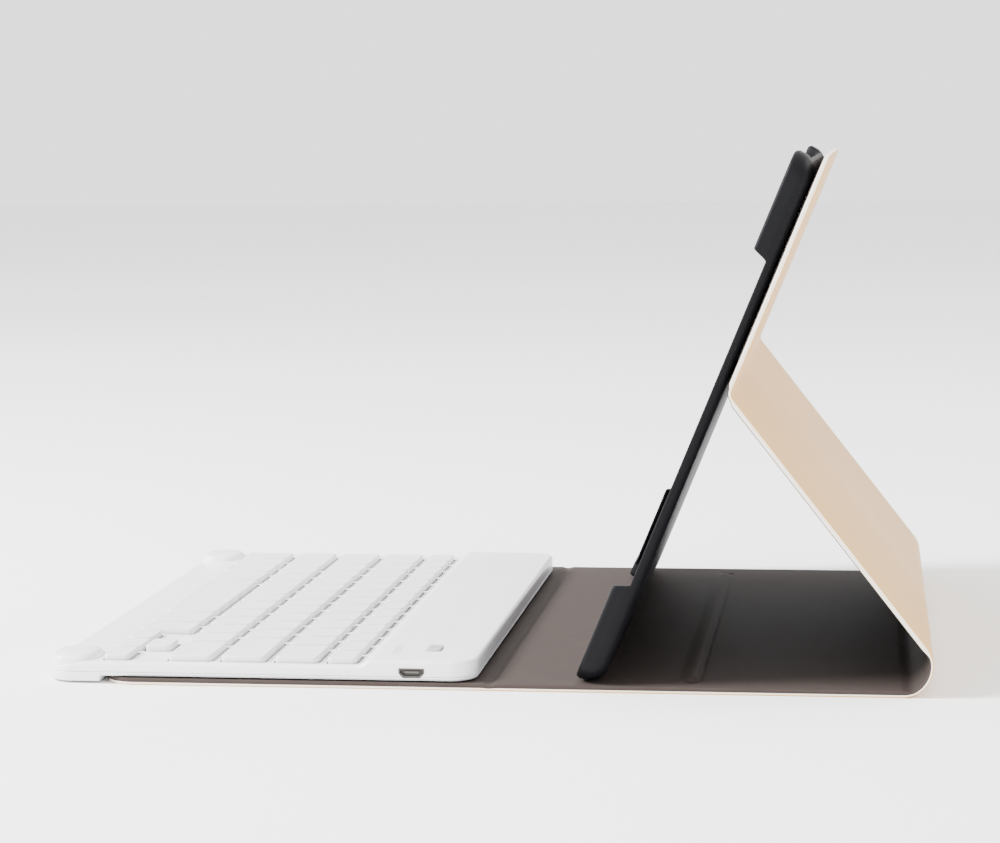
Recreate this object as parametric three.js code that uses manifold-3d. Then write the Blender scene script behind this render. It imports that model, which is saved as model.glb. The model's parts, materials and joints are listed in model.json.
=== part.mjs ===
// Tablet keyboard case: a folding cover with a tablet tray, standing open, and a slim keyboard that
// lies on its front panel. Millimetres, +Z up, X from the typist towards the spine, Y across the
// width. Each moving panel is modelled flat in a group of its own, and the groups hold its fold.
import * as THREE from 'three';
import { mergeVertices } from 'three/addons/utils/BufferGeometryUtils.js';
import Module from 'manifold-3d';

const wasm = await Module();
wasm.setup();
const { Manifold, Mesh } = wasm;
const DEG = Math.PI / 180;

// ---- cover: widths, panel stack and the places of its folds along X --------------------------
const COVER_WIDTH = 254;
const COVER_CORNER = 10;
const SKIN = [-0.25, 0.25]; // these three are heights above the middle of a panel's skin
const BOARD = [0.35, 1.35];
const LINING = [1.45, 1.95];
const SPINE_LINING = [0.35, 0.85]; // in the soft spine, which has no board
const SKIN_HALF = SKIN[1];
const BOARD_INSET = 1.5;
const LINING_INSET = 0.8;
const SKIN_GAP = 0.6; // from a fold's line to the skin, and to the soft spine's lining
const FOLD_GAP = 1.5; // from a fold's line to a board, and to a boarded panel's lining
const FRONT_PANEL_START = -124.22;
const FRONT_FOLD = 2.28;
const RIDGE_AT = 66.68;
const SPINE_START = 132.68; // where the flat base ends and the soft spine begins to curve up
const RIDGE = { length: 230, width: 3.2, height: 0.6 };

// ---- spine and back: fold angles of the standing case ----------------------------------------
const SPINE_RADIUS = 10; // of the soft spine's curve, in the skin's middle
const SPINE_TURN = 64; // at each of the spine's two folds
// Each spine fold stands for half of the curve. Its axis lies above the skin, where opening it flat
// gives the skin the length of that half curve.
const SPINE_HALF = SPINE_RADIUS * SPINE_TURN * DEG;
const SPINE_AXIS_ALONG = SPINE_HALF / 2;
const SPINE_AXIS_UP = SPINE_RADIUS - SPINE_AXIS_ALONG / Math.tan(SPINE_TURN * DEG / 2);
const LOWER_BACK = 105.53; // from the spine's second fold to the back fold
const BACK_TURN = 60.5; // between the lower and the upper back
const UPPER_BACK = 80.8;

// ---- tray, in the upper back's frame: X up the tray, Z towards the tablet ---------------------
const TAPE = [2.05, 2.25];
const TRAY = { start: -103.4, length: 181.7, width: 254, back: 2.35, depth: 8.6, corner: 9 };
const TABLET = { length: 174.6, width: 251, depth: 6.2, corner: 7 };
const TRAY_LIP = 0.85;
const LIP_REACH = 1.6;
const GRIP = { along: 34, across: 30 };
const RIM_HEIGHT = 3.6;
const CAMERA = { x: 63, y: 107, radius: 6.5 };

// ---- keyboard ---------------------------------------------------------------------------------
const KEYBOARD = { start: -144.07, length: 141.9, width: 244, middle: -4.2, corner: 9 };
const CHIN = { length: 19, bottom: 0.6 };
const KEYBOARD_BOTTOM = 2.5;
const DECK_TOP = 7.2;
const FRONT_TOP = 5.9;
const DECK_START = 15;
const BAR_START = 104.2;
const BAR_TOP = 9.2;
const SHELL_WALL = 1.3;
const PARTING = 4.0;
const KEY_TOP = 9.2;
const KEY_BOTTOM = 6.6;
const KEY_GAP = 3;
const WELL_GAP = 0.5;
const PITCH = 16.7;
const NEAR_MARGIN = 3.9;
const WEB_TOP = 6.9;

const gold = new THREE.MeshStandardMaterial({ color: 0xdcc6aa, roughness: 0.6, metalness: 0 });
const taupe = new THREE.MeshStandardMaterial({ color: 0x6f655f, roughness: 0.95, metalness: 0 });
const card = new THREE.MeshStandardMaterial({ color: 0x8d8880, roughness: 1, metalness: 0 });
const black = new THREE.MeshStandardMaterial({ color: 0x151417, roughness: 0.45, metalness: 0 });
const tape = new THREE.MeshStandardMaterial({ color: 0xd8d8d0, roughness: 0.8, metalness: 0 });
const white = new THREE.MeshStandardMaterial({ color: 0xf1f0f2, roughness: 0.35, metalness: 0 });
const steel = new THREE.MeshStandardMaterial({ color: 0xb9bcc0, roughness: 0.35, metalness: 1 });
const green = new THREE.MeshStandardMaterial({ color: 0x1f6b45, roughness: 0.5, metalness: 0 });
const film = new THREE.MeshStandardMaterial({ color: 0xcfd6da, roughness: 0.4, metalness: 0 });
const silicone = new THREE.MeshStandardMaterial({ color: 0xc8c8c4, roughness: 0.8, metalness: 0 });
const grey = new THREE.MeshStandardMaterial({ color: 0xa7abad, roughness: 0.6, metalness: 0 });

// ---- helpers ------------------------------------------------------------------------------------
function solid(geometry) {
  const bare = geometry.index ? geometry : geometry.clone();
  bare.deleteAttribute('normal');
  bare.deleteAttribute('uv');
  const merged = mergeVertices(bare, 1e-5);
  return new Manifold(new Mesh({
    numProp: 3,
    vertProperties: new Float32Array(merged.attributes.position.array),
    triVerts: new Uint32Array(merged.index.array),
  }));
}

function meshOf(name, body, material) {
  const data = body.getMesh();
  const geometry = new THREE.BufferGeometry();
  geometry.setAttribute('position', new THREE.BufferAttribute(data.vertProperties, 3));
  geometry.setIndex(new THREE.BufferAttribute(data.triVerts, 1));
  const flat = geometry.toNonIndexed();
  flat.computeVertexNormals();
  const mesh = new THREE.Mesh(flat, material);
  mesh.name = name;
  return mesh;
}

// A rectangle in the plane with each corner rounded by its own radius: [low x low y, high x low y,
// high x high y, low x high y].
function rounded(x0, x1, y0, y1, radii) {
  const [a, b, c, d] = Array.isArray(radii) ? radii : [radii, radii, radii, radii];
  const shape = new THREE.Shape();
  shape.moveTo(x0 + a, y0);
  shape.lineTo(x1 - b, y0);
  if (b) shape.absarc(x1 - b, y0 + b, b, -90 * DEG, 0, false);
  shape.lineTo(x1, y1 - c);
  if (c) shape.absarc(x1 - c, y1 - c, c, 0, 90 * DEG, false);
  shape.lineTo(x0 + d, y1);
  if (d) shape.absarc(x0 + d, y1 - d, d, 90 * DEG, 180 * DEG, false);
  shape.lineTo(x0, y0 + a);
  if (a) shape.absarc(x0 + a, y0 + a, a, 180 * DEG, 270 * DEG, false);
  return shape;
}

// A flat outline in X and Y, between two heights.
function plate(shape, [low, high], segments = 6) {
  const geometry = new THREE.ExtrudeGeometry(shape, {
    depth: high - low, bevelEnabled: false, curveSegments: segments,
  });
  return solid(geometry.translate(0, 0, low));
}

// A side outline in X and Z, run across the width about Y = 0.
function across(shape, width, segments = 6) {
  const geometry = new THREE.ExtrudeGeometry(shape, {
    depth: width, bevelEnabled: false, curveSegments: segments,
  });
  return solid(geometry.rotateX(90 * DEG).translate(0, width / 2, 0));
}

// A section in Y and Z, run along X.
function along(shape, [low, high], segments = 6) {
  const geometry = new THREE.ExtrudeGeometry(shape, {
    depth: high - low, bevelEnabled: false, curveSegments: segments,
  });
  return solid(geometry.rotateZ(90 * DEG).rotateY(90 * DEG).translate(low, 0, 0));
}

function box([x0, x1], [y0, y1], [z0, z1]) {
  return solid(new THREE.BoxGeometry(x1 - x0, y1 - y0, z1 - z0)
    .translate((x0 + x1) / 2, (y0 + y1) / 2, (z0 + z1) / 2));
}

function fold(parent, x, z, turn) {
  const group = new THREE.Group();
  group.position.set(x, 0, z);
  group.rotation.y = turn * DEG;
  parent.add(group);
  return group;
}

const object = new THREE.Group();
const COVER_HALF = COVER_WIDTH / 2;

// A cover panel's sheet between two places along X, drawn in from the edges by an inset; the two
// ends stay back from their folds by gaps, and an outer end has round corners.
function sheet(start, end, inset, corners, heights, hole) {
  const half = COVER_HALF - inset;
  const shape = rounded(start, end, -half, half, corners);
  if (hole) {
    const path = new THREE.Path();
    path.absarc(CAMERA.x, CAMERA.y, CAMERA.radius, 0, 360 * DEG, true);
    shape.holes.push(path);
  }
  return plate(shape, heights);
}

// ---- front panel, under the keyboard -------------------------------------------------------------
function frontPanel() {
  const group = fold(object, FRONT_FOLD, SKIN_HALF, 0);
  const start = FRONT_PANEL_START - FRONT_FOLD;
  const outer = (inset) => [COVER_CORNER - inset, 0, 0, COVER_CORNER - inset];
  const skin = sheet(start, -SKIN_GAP, 0, outer(0), SKIN);
  const lining = sheet(start + LINING_INSET, -FOLD_GAP, LINING_INSET, outer(LINING_INSET), LINING);
  const keeper = [[-118, -38], [-30, 30]];
  const whole = sheet(start + BOARD_INSET, -FOLD_GAP, BOARD_INSET, outer(BOARD_INSET), BOARD);
  const window = box([keeper[0][0] - 0.4, keeper[0][1] + 0.4],
    [keeper[1][0] - 0.4, keeper[1][1] + 0.4], [BOARD[0] - 1, BOARD[1] + 1]);
  group.add(meshOf('front_panel_skin', skin, gold));
  group.add(meshOf('front_panel_board', whole.subtract(window), card));
  group.add(meshOf('front_panel_lining', lining, taupe));
  group.add(meshOf('keyboard_keeper_plate', box(...keeper, BOARD), steel));
}

// ---- base, on which the tray's foot stands --------------------------------------------------------
function base() {
  const group = fold(object, 0, SKIN_HALF, 0);
  const from = FRONT_FOLD;
  const end = SPINE_START + SPINE_AXIS_ALONG;
  const skin = sheet(from + SKIN_GAP, end - SKIN_GAP, 0, 0, SKIN);
  const front = sheet(from + FOLD_GAP, RIDGE_AT - 1.2, BOARD_INSET, 0, BOARD);
  const rear = sheet(RIDGE_AT + 1.2, SPINE_START, BOARD_INSET, 0, BOARD);
  const lining = sheet(from + FOLD_GAP, end - FOLD_GAP, LINING_INSET, 0, LINING);
  const halfRidge = RIDGE.length / 2;
  const ridge = plate(rounded(RIDGE_AT - RIDGE.width / 2, RIDGE_AT + RIDGE.width / 2,
    -halfRidge, halfRidge, RIDGE.width / 2 - 0.01),
  [LINING[1] - 0.1, LINING[1] + RIDGE.height]);
  group.add(meshOf('base_skin', skin, gold));
  group.add(meshOf('base_front_board', front, card));
  group.add(meshOf('base_rear_board', rear, card));
  group.add(meshOf('base_lining', lining.add(ridge), taupe));
}

// ---- spine: a soft strip without a board, between two folds --------------------------------------
function spine() {
  const strip = fold(object, SPINE_START + SPINE_AXIS_ALONG, SKIN_HALF + SPINE_AXIS_UP, -SPINE_TURN);
  const panel = new THREE.Group();
  panel.position.z = -SPINE_AXIS_UP;
  const skin = sheet(SKIN_GAP, SPINE_HALF - SKIN_GAP, 0, 0, SKIN);
  const lining = sheet(SKIN_GAP, SPINE_HALF - SKIN_GAP, LINING_INSET, 0, SPINE_LINING);
  panel.add(meshOf('spine_skin', skin, gold), meshOf('spine_lining', lining, taupe));
  strip.add(panel);
  const back = new THREE.Group();
  back.position.z = -SPINE_AXIS_UP;
  fold(strip, SPINE_HALF, 0, -SPINE_TURN).add(back);
  return back;
}

function lowerBack(group) {
  const end = LOWER_BACK;
  group.add(meshOf('lower_back_skin', sheet(SKIN_GAP, end - SKIN_GAP, 0, 0, SKIN), gold));
  group.add(meshOf('lower_back_board',
    sheet(SPINE_AXIS_ALONG, end - FOLD_GAP, BOARD_INSET, 0, BOARD), card));
  group.add(meshOf('lower_back_lining',
    sheet(FOLD_GAP, end - FOLD_GAP, LINING_INSET, 0, LINING), taupe));
  return fold(group, LOWER_BACK, 0, BACK_TURN);
}

function upperBack(group) {
  const outer = (inset) => [0, COVER_CORNER - inset, COVER_CORNER - inset, 0];
  const end = UPPER_BACK;
  const skin = sheet(SKIN_GAP, end, 0, outer(0), SKIN, true);
  const board = sheet(FOLD_GAP, end - BOARD_INSET, BOARD_INSET, outer(BOARD_INSET), BOARD, true);
  const lining = sheet(FOLD_GAP, end - LINING_INSET, LINING_INSET, outer(LINING_INSET), LINING, true);
  const pad = sheet(10, end - 10, 12, 0, TAPE, true);
  group.add(meshOf('upper_back_skin', skin, gold));
  group.add(meshOf('upper_back_board', board, card));
  group.add(meshOf('upper_back_lining', lining, taupe));
  group.add(meshOf('tray_adhesive_sheet', pad, tape));
}

// ---- tray: a back plate with a low rim and four deep corner grips -----------------------------
function tray(group) {
  const { start, length, width, back, depth, corner } = TRAY;
  const end = start + length;
  const front = back + depth;
  const half = width / 2;
  const profile = across(rounded(start, end, back, front, [6.5, 6.5, 1.2, 1.2]), width);
  const outline = plate(rounded(start, end, -half, half, corner), [back, front], 8);
  const section = along(rounded(-half, half, back, front, [5, 5, 1, 1]), [start, end]);
  const shell = profile.intersect(outline).intersect(section);

  const inset = (length - TABLET.length) / 2;
  const bayFloor = front - TRAY_LIP - TABLET.depth;
  const bay = plate(rounded(start + inset, end - inset, -TABLET.width / 2, TABLET.width / 2,
    TABLET.corner), [bayFloor, bayFloor + TABLET.depth]);
  const reach = inset + LIP_REACH;
  const mouth = plate(rounded(start + reach, end - reach, reach - half, half - reach,
    TABLET.corner - LIP_REACH), [bayFloor, front + 1]);
  const openSides = box([start + GRIP.along, end - GRIP.along], [-half - 1, half + 1],
    [back + RIM_HEIGHT, front + 1]);
  const openEnds = box([start - 1, end + 1], [GRIP.across - half, half - GRIP.across],
    [back + RIM_HEIGHT, front + 1]);
  const camera = solid(new THREE.CylinderGeometry(CAMERA.radius, CAMERA.radius, 8, 24)
    .rotateX(90 * DEG).translate(CAMERA.x, CAMERA.y, back));
  const body = shell.subtract(bay).subtract(mouth).subtract(openSides).subtract(openEnds);
  group.add(meshOf('tray_shell', body.subtract(camera), black));
}

// ---- keyboard ---------------------------------------------------------------------------------------
const K = KEYBOARD.start;
const K_END = K + KEYBOARD.length;
const K_NEAR = KEYBOARD.middle - KEYBOARD.width / 2;
const K_FAR = KEYBOARD.middle + KEYBOARD.width / 2;

// The rows of keys, from the typist's edge. Each row lists its keys from the near side, in pitches;
// a plain number is that many keys of one pitch, which move on one web.
const ROWS = [
  { start: 19.2, depth: 18, keys: 'modifiers' },
  { start: 40.6, depth: 14.2, keys: [['key_shift_right', 1.75], 10, ['key_shift_left', 2.25]] },
  { start: 58.2, depth: 14.2, keys: [['key_enter', 2.25], 10, ['key_caps_lock', 1.75]] },
  { start: 75.9, depth: 14.0, keys: [['key_backspace', 1.5], 11, ['key_tab', 1.5]] },
  { start: 93.2, depth: 9.3, keys: [13, ['key_escape', 1]] },
];
const MODIFIERS = [['key_option_right', 1], ['key_command_right', 1.25], ['key_space', 4.5],
  ['key_command_left', 1.25], ['key_alt', 1], ['key_control', 1], ['key_function', 1]];

function keySolid(x0, x1, y0, y1) {
  return plate(rounded(x0, x1, y0, y1, 1.2), [KEY_BOTTOM, KEY_TOP], 2);
}

// One named key, or a run of plain keys on a shared web, starting at y and going away from it.
function keysFrom(entry, row, y) {
  const [x0, x1] = [K + row.start, K + row.start + row.depth];
  if (Array.isArray(entry)) {
    const [name, pitches] = entry;
    const end = y + pitches * PITCH;
    return { name, end, body: keySolid(x0, x1, y + KEY_GAP / 2, end - KEY_GAP / 2) };
  }
  const end = y + entry * PITCH;
  let body = box([x0 + 4, x1 - 4], [y + KEY_GAP / 2 + 2, end - KEY_GAP / 2 - 2],
    [KEY_BOTTOM, WEB_TOP]);
  for (let n = 0; n < entry; n += 1) {
    const from = y + n * PITCH;
    body = body.add(keySolid(x0, x1, from + KEY_GAP / 2, from + PITCH - KEY_GAP / 2));
  }
  return { name: null, end, body };
}

function arrowKeys(y) {
  const { start, depth } = ROWS[0];
  const middle = K + start + depth / 2;
  const lower = [K + start, middle - 0.7];
  const upper = [middle + 0.7, K + start + depth];
  const side = (column) => [y + column * PITCH + KEY_GAP / 2, y + (column + 1) * PITCH - KEY_GAP / 2];
  return [
    { name: 'key_arrow_right', body: keySolid(...lower, ...side(0)) },
    { name: 'key_arrow_down', body: keySolid(...lower, ...side(1)) },
    { name: 'key_arrow_up', body: keySolid(...upper, ...side(1)) },
    { name: 'key_arrow_left', body: keySolid(...lower, ...side(2)) },
  ];
}

function allKeys() {
  const names = [null, 'keys_bottom_letters', 'keys_home_letters', 'keys_top_letters', 'keys_numbers'];
  const near = K_NEAR + NEAR_MARGIN - KEY_GAP / 2;
  const keys = arrowKeys(near);
  ROWS.forEach((row, index) => {
    let y = index === 0 ? near + 3 * PITCH : near;
    const list = index === 0 ? MODIFIERS : row.keys;
    for (const entry of list) {
      const made = keysFrom(entry, row, y);
      keys.push({ name: made.name ?? names[index], body: made.body });
      y = made.end;
    }
  });
  return keys;
}

// The keyboard's side outline: a deep chin that reaches down in front of the cover, a low deck and
// a higher bar along the rear. Lowered by `wall` all round for its inside.
function sideOutline(wall) {
  const shape = new THREE.Shape();
  const end = K_END - wall;
  const floor = KEYBOARD_BOTTOM + wall;
  const chinFloor = CHIN.bottom + wall;
  shape.moveTo(K + wall, FRONT_TOP - wall - 2);
  shape.absarc(K + wall + 2.2, chinFloor + 2.2, 2.2, 180 * DEG, 270 * DEG, false);
  shape.lineTo(K + CHIN.length - wall, chinFloor);
  shape.lineTo(K + CHIN.length - wall, floor);
  shape.lineTo(end - 2, floor);
  shape.absarc(end - 2, floor + 2, 2, 270 * DEG, 360 * DEG, false);
  shape.absarc(end - 1.2, BAR_TOP - wall - 1.2, 1.2, 0, 90 * DEG, false);
  shape.lineTo(K + BAR_START + 2.4 + wall, BAR_TOP - wall);
  shape.lineTo(K + BAR_START + wall, DECK_TOP - wall);
  shape.lineTo(K + DECK_START, DECK_TOP - wall);
  shape.lineTo(K + 2 + wall, FRONT_TOP - wall);
  return shape;
}

function keyboardBody(wall) {
  const outline = plate(rounded(K + wall, K_END - wall, K_NEAR + wall, K_FAR - wall,
    KEYBOARD.corner - wall), [-2, 14], 6);
  return across(sideOutline(wall), KEYBOARD.width + 20, 3).intersect(outline);
}

// A low rounded bump on each corner of the typist's edge, which keeps the screen off the keys.
function cornerBump(side) {
  const bump = new THREE.SphereGeometry(1, 16, 12);
  bump.scale(8.5, 11, 3.4);
  return solid(bump.translate(K + 8.8, KEYBOARD.middle + side * (KEYBOARD.width / 2 - 11.3), FRONT_TOP - 0.9));
}

function wellFor(key) {
  const { min, max } = key.body.boundingBox();
  return box([min[0] - WELL_GAP, max[0] + WELL_GAP], [min[1] - WELL_GAP, max[1] + WELL_GAP],
    [PARTING, KEY_TOP + 1]);
}

const PORT = { x: 121.2, width: 8.2, height: 3.0, z: 5.2, length: 6 };
const SWITCH = { x: 125.7, y: -102, slot: [5.4, 13], knob: [4.6, 9.4], body: [7, 16], clearance: 0.4 };
const LIGHTS = { x: 114, y: -106, pitch: 7, radius: 0.9 };

function portShape(grow) {
  const w = PORT.width / 2 + grow;
  const low = PORT.width / 2 - 1.4 + grow;
  const h = PORT.height / 2 + grow;
  return new THREE.Shape([[-low, -h], [low, -h], [w, -0.1], [w, h], [-w, h], [-w, -0.1]]
    .map(([x, z]) => new THREE.Vector2(x, z)));
}

// The port's section, run inwards from the near wall.
function portRun(grow, from, length) {
  const geometry = new THREE.ExtrudeGeometry(portShape(grow), { depth: length, bevelEnabled: false });
  return solid(geometry.rotateX(90 * DEG).translate(K + PORT.x, from + length, PORT.z));
}

function lightWindow(grow, heights) {
  const shape = rounded(K + LIGHTS.x - LIGHTS.radius - grow, K + LIGHTS.x + LIGHTS.radius + grow,
    LIGHTS.y - LIGHTS.radius - LIGHTS.pitch - grow, LIGHTS.y + LIGHTS.radius + LIGHTS.pitch + grow,
    LIGHTS.radius);
  return plate(shape, heights, 3);
}

function keyboardShells(group, keys) {
  const shell = keyboardBody(0).add(cornerBump(-1)).add(cornerBump(1));
  const cavity = keyboardBody(SHELL_WALL);
  const split = (low, high) => box([K - 5, K_END + 5], [K_NEAR - 5, K_FAR + 5], [low, high]);
  const { slot, x, y } = SWITCH;
  const slotCut = box([K + x - slot[0] / 2, K + x + slot[0] / 2], [y - slot[1] / 2, y + slot[1] / 2],
    [BAR_TOP - SHELL_WALL - 1, BAR_TOP + 1]);
  let top = shell.subtract(cavity).intersect(split(PARTING, 20)).subtract(slotCut)
    .subtract(portRun(0.25, K_NEAR - 1, PORT.length + 2)).subtract(lightWindow(0.15, [6, 12]));
  for (const key of keys) top = top.subtract(wellFor(key));
  let bottom = shell.subtract(cavity).intersect(split(-5, PARTING - 0.1));
  bottom = bottom.subtract(portRun(0.25, K_NEAR - 1, PORT.length + 2));
  group.add(meshOf('keyboard_top_shell', top, white));
  group.add(meshOf('keyboard_bottom_shell', bottom, white));
}

function keyboardInsides(group) {
  const floor = KEYBOARD_BOTTOM + SHELL_WALL;
  const keyed = [K + 17, K + 103.2];
  const inside = [K_NEAR + 2.2, K_FAR - 2.2];
  group.add(meshOf('key_support_plate', box(keyed, inside, [floor + 0.1, floor + 0.5]), steel));
  group.add(meshOf('key_membrane', box(keyed, inside, [floor + 0.6, floor + 0.85]), film));
  group.add(meshOf('key_dome_sheet', box(keyed, inside, [floor + 0.95, floor + 1.25]), silicone));
  group.add(meshOf('battery', box([K + 109.5, K + 137], [-20, 70], [floor + 0.2, floor + 3.4]), grey));
  const board = [floor + 0.1, floor + 0.9];
  group.add(meshOf('main_circuit_board', box([K + 107, K + 137], [K_NEAR + 7, K_NEAR + 97], board), green));
  const socket = portRun(0, K_NEAR + 0.4, PORT.length)
    .subtract(portRun(-0.45, K_NEAR + 0.3, PORT.length - 0.6));
  group.add(meshOf('charging_port', socket, steel));
  group.add(meshOf('indicator_window', lightWindow(0, [BAR_TOP - SHELL_WALL, BAR_TOP - 0.05]), film));
  const { knob, slot, body, x, y } = SWITCH;
  const underShell = BAR_TOP - SHELL_WALL;
  const knobStart = y - slot[1] / 2 + SWITCH.clearance;
  const cap = box([K + x - knob[0] / 2, K + x + knob[0] / 2], [knobStart, knobStart + knob[1]],
    [underShell, BAR_TOP + 0.5]);
  group.add(meshOf('power_switch_knob', cap, grey));
  group.add(meshOf('power_switch_body', box([K + x - body[0] / 2, K + x + body[0] / 2],
    [y - body[1] / 2, y + body[1] / 2], [board[1] + 0.1, underShell - 0.3]), steel));
}

function feet(group) {
  for (const [name, side] of [['near', -1], ['far', 1]]) {
    const y = KEYBOARD.middle + side * 92;
    const pad = plate(rounded(K + 5, K + 13, y - 12, y + 12, 3.9), [0.05, CHIN.bottom - 0.05], 4);
    group.add(meshOf(`chin_foot_${name}`, pad, silicone));
  }
}

function keyboard() {
  const group = new THREE.Group();
  const keys = allKeys();
  keyboardShells(group, keys);
  keyboardInsides(group);
  feet(group);
  for (const { name, body } of keys) group.add(meshOf(name, body, white));
  object.add(group);
}

frontPanel();
base();
const upper = lowerBack(spine());
upperBack(upper);
tray(upper);
keyboard();

export default object;
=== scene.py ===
"""The looks of a tablet keyboard case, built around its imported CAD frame.

Shapes are worked out in millimetres, in the row frame, and turned into metres when a mesh is made.
"""
import json
import math

import bmesh
import bpy
from mathutils import Matrix, Vector
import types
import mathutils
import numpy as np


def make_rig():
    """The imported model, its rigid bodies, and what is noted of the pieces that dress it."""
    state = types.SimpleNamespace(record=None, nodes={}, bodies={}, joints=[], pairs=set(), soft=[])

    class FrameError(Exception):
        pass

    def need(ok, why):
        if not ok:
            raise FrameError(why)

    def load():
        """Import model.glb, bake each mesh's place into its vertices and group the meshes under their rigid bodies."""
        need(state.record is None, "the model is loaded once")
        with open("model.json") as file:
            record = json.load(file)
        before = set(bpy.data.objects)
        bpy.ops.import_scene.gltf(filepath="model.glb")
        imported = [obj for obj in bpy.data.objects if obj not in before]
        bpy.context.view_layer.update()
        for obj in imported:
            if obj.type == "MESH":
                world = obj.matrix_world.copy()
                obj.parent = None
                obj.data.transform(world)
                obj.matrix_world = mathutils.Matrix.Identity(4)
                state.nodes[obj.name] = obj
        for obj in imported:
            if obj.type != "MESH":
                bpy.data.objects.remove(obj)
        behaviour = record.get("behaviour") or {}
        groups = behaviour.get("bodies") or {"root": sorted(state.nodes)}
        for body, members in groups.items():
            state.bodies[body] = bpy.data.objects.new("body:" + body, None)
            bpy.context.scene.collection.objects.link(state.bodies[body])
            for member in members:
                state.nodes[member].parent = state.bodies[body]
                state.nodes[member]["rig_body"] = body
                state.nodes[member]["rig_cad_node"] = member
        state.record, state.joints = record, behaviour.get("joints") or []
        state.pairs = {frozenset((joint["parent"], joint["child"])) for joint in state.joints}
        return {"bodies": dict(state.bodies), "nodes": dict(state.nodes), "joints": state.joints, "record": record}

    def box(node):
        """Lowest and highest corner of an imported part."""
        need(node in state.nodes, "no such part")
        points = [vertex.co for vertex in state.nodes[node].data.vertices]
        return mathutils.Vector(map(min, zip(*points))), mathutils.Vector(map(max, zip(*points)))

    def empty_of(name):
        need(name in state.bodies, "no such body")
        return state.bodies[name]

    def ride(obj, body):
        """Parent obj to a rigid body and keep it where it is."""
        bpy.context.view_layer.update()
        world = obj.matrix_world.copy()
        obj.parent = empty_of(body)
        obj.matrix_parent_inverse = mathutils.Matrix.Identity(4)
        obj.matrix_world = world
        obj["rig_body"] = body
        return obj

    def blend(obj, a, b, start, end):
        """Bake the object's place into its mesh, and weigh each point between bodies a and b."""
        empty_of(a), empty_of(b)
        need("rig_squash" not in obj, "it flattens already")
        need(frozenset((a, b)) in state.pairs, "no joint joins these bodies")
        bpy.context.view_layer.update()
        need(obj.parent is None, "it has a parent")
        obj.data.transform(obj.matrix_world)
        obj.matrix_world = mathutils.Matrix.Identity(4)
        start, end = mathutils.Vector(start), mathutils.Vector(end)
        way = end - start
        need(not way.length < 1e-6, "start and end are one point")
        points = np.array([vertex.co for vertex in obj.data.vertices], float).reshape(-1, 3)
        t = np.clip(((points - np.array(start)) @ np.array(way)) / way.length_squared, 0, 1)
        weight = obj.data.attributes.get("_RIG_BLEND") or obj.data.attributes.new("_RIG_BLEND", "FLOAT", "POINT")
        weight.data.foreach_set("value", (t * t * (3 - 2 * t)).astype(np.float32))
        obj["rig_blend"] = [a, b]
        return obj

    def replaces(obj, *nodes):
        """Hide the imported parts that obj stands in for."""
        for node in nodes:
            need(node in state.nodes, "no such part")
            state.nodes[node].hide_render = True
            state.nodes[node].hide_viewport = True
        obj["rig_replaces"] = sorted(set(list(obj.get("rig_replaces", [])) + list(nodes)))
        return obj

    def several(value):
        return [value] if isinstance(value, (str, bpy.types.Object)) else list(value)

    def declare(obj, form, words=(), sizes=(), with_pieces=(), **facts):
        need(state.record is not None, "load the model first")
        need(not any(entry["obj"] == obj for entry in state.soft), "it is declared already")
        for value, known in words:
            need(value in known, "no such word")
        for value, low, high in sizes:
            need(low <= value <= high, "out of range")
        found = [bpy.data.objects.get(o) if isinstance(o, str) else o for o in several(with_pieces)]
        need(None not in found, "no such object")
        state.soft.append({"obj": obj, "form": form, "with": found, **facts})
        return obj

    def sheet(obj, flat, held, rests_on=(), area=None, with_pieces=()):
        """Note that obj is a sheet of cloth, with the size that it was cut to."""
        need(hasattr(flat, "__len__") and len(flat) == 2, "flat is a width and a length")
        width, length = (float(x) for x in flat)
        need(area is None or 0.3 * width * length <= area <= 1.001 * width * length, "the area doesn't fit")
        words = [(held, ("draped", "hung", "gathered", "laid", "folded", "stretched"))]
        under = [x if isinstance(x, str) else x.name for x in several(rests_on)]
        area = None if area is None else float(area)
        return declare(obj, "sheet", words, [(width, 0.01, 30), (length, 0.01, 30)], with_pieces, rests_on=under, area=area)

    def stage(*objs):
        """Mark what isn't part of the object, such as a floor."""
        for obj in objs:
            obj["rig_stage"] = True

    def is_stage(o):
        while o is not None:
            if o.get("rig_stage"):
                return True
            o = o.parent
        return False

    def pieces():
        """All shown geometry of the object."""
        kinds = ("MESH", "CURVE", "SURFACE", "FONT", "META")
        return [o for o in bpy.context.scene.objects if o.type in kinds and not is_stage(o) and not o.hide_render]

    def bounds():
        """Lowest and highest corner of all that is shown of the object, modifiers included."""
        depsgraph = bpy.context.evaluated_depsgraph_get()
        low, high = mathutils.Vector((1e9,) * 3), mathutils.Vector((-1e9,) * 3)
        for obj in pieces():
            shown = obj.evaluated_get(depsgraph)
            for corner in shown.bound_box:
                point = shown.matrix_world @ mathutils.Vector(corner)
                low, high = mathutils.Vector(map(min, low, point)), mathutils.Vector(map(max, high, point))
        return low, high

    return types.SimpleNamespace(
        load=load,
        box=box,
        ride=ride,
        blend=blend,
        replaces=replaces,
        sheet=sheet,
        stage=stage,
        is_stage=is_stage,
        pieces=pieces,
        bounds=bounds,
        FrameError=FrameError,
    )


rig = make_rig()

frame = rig.load()
cad_low, cad_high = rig.bounds()

MM = 0.001
JOINTS = {joint["name"]: joint for joint in frame["joints"]}


def axis_of(joint):
    """Where a hinge's axis crosses the plane y = 0, as (x, z) in millimetres."""
    x, _, z = JOINTS[joint]["pos_m"]
    return x / MM, z / MM


def box_mm(node):
    """A CAD node's box in millimetres."""
    low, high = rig.box(node)
    return Vector(low) / MM, Vector(high) / MM


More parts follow.
